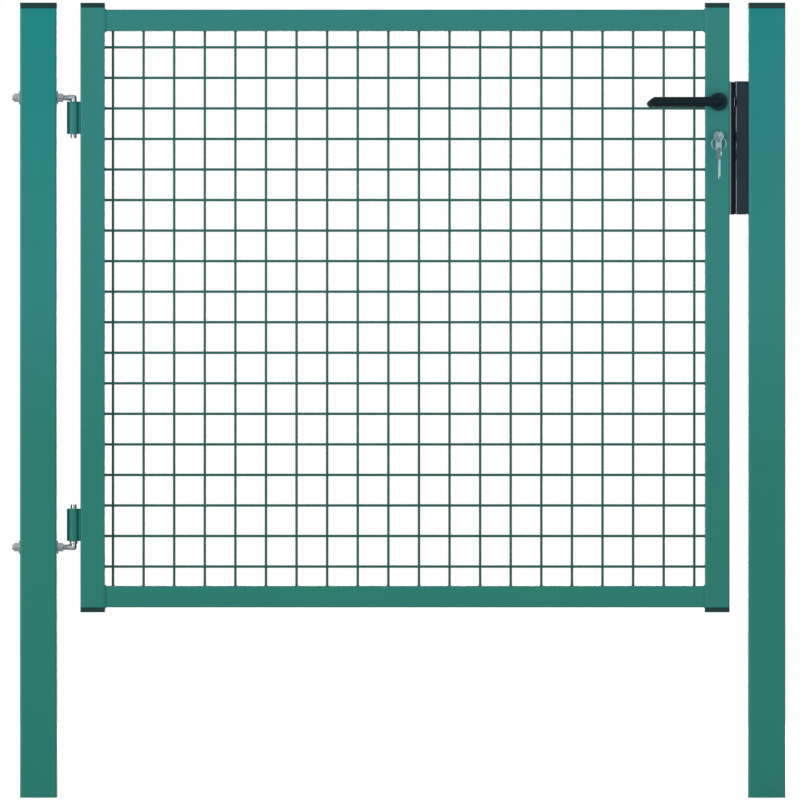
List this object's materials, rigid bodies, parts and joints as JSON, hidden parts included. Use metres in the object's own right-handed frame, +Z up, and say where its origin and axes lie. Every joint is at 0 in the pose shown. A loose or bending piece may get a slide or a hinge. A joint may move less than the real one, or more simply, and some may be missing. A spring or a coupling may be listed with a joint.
{
  "type": "pedestrian gate",
  "caption": "Single-leaf green steel garden gate with welded wire mesh, square posts, adjustable hinges, lever handles, cylinder lock with keys and a keeper.",
  "frame": {"origin": "centre of the hinge post's foot", "axes": "+X from the hinge post to the latch post, +Y to the back of the gate, +Z up"},
  "size_m": [1.265, 0.116, 1.3],
  "materials": {
    "green_coating": "powder coated, satin",
    "cap_plastic": "moulded, matt",
    "zinc": "zinc plated",
    "nickel": "satin nickel",
    "black_coating": "powder coated, satin",
    "lever_plastic": "moulded, satin",
    "lock_steel": "zinc plated"
  },
  "bodies": {
    "posts": {"hinge_post": "green_coating", "latch_post": "green_coating", "hinge_post_cap": "cap_plastic", "latch_post_cap": "cap_plastic", "top_hinge_bolt": "zinc", "bottom_hinge_bolt": "zinc", "top_hinge_nuts": "zinc", "bottom_hinge_nuts": "zinc", "top_hinge_washers": "zinc", "bottom_hinge_washers": "zinc", "keeper": "black_coating", "keeper_top_cap": "cap_plastic", "keeper_bottom_cap": "cap_plastic", "keeper_screws": "zinc"},
    "leaf": {"hinge_stile": "green_coating", "latch_stile": "green_coating", "top_rail": "green_coating", "bottom_rail": "green_coating", "hinge_stile_top_cap": "cap_plastic", "hinge_stile_bottom_cap": "cap_plastic", "latch_stile_top_cap": "cap_plastic", "latch_stile_bottom_cap": "cap_plastic", "top_hinge_sleeve": "green_coating", "bottom_hinge_sleeve": "green_coating", "mesh_panel": "green_coating", "lock_case": "lock_steel", "lock_forend": "lock_steel", "latch_bolt": "nickel", "dead_bolt": "nickel", "lock_cylinder": "nickel", "back_plug": "nickel", "front_rose": "lever_plastic", "back_rose": "lever_plastic"},
    "levers": {"front_lever": "lever_plastic", "back_lever": "lever_plastic", "spindle": "lock_steel"},
    "key_and_plug": {"front_plug": "nickel", "door_key": "nickel"},
    "ring_and_spare_key": {"key_ring": "zinc", "spare_key": "nickel"}
  },
  "joints": [
    {"name": "leaf_swing", "type": "hinge", "parent": "posts", "child": "leaf", "pos_m": [0.057, 0, 0.8], "axis": [0, 0, -1], "range_deg": [0, 90]},
    {"name": "lever_turn", "type": "hinge", "parent": "leaf", "child": "levers", "pos_m": [1.1125, 0, 1.138], "axis": [0, -1, 0], "range_deg": [0, 40], "stiffness_Nm_per_rad": 1.2, "springref_deg": -20.05},
    {"name": "key_turn", "type": "hinge", "parent": "leaf", "child": "key_and_plug", "pos_m": [1.1125, 0, 1.0815], "axis": [0, -1, 0], "range_deg": [0, 90]},
    {"name": "ring_swing", "type": "hinge", "parent": "key_and_plug", "child": "ring_and_spare_key", "pos_m": [1.1125, -0.045, 1.0808], "axis": [0, -1, 0], "range_deg": [-30, 30]}
  ]
}
